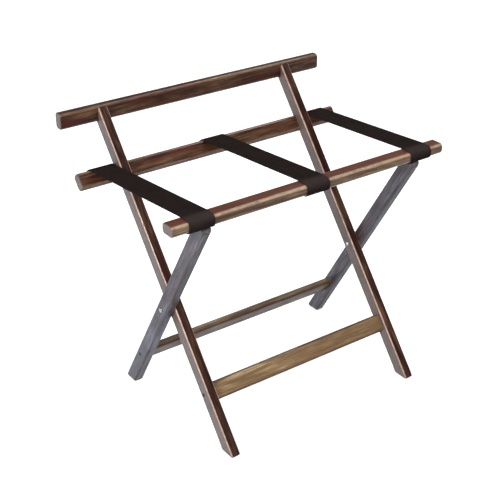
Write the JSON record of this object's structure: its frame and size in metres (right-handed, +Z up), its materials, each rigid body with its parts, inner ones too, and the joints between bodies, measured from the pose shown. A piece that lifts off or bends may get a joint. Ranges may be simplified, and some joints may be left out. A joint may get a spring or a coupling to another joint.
{
  "type": "folding luggage rack",
  "caption": "Folding wooden luggage rack: crossed legs on a common pivot, dark webbing straps between two seat rails, and a raised back rail.",
  "frame": {"origin": "On the floor under the middle of the open rack's box.", "axes": "+X to the right along the rails, +Y to the rear, where the raised back rail is, +Z up."},
  "size_m": [0.6, 0.4482, 0.5462],
  "materials": {
    "long_leg_wood": "dark walnut stain under satin lacquer, grain along the leg",
    "short_leg_wood": "dark walnut stain under satin lacquer, grain along the leg",
    "rail_wood": "dark walnut stain under satin lacquer, grain along the rail",
    "stretcher_wood": "walnut stain under satin lacquer, a little lighter, grain along the stretcher",
    "dowel_wood": "plain beech dowel",
    "webbing": "near-black brown woven webbing, slight sheen",
    "pivot_steel": "bright nickel-plated steel",
    "washer_nylon": "black nylon",
    "screw_steel": "blackened steel",
    "tack_steel": "dull zinc-plated steel"
  },
  "bodies": {
    "back_frame": {"long_leg_left": "long_leg_wood", "long_leg_right": "long_leg_wood", "rear_seat_rail": "rail_wood", "back_rail": "rail_wood", "front_stretcher": "stretcher_wood", "rear_rail_dowels": "dowel_wood", "back_rail_dowels": "dowel_wood", "strap_left": "webbing", "strap_middle": "webbing", "strap_right": "webbing", "pivot_bolt_left": "pivot_steel", "pivot_bolt_right": "pivot_steel", "pivot_nut_left": "pivot_steel", "pivot_nut_right": "pivot_steel", "pivot_washer_left": "washer_nylon", "pivot_washer_right": "washer_nylon", "front_stretcher_screws": "screw_steel", "strap_tacks_rear": "tack_steel"},
    "seat_frame": {"short_leg_left": "short_leg_wood", "short_leg_right": "short_leg_wood", "front_seat_rail": "rail_wood", "rear_stretcher": "stretcher_wood", "rear_stretcher_screws": "screw_steel", "front_rail_dowels": "dowel_wood", "strap_tacks_front": "tack_steel"}
  },
  "joints": [
    {"name": "fold", "type": "hinge", "parent": "back_frame", "child": "seat_frame", "pos_m": [0, -0.03002, 0.2266], "axis": [-1, 0, 0], "range_deg": [0, 60], "deforming": ["strap_left", "strap_middle", "strap_right"]}
  ]
}
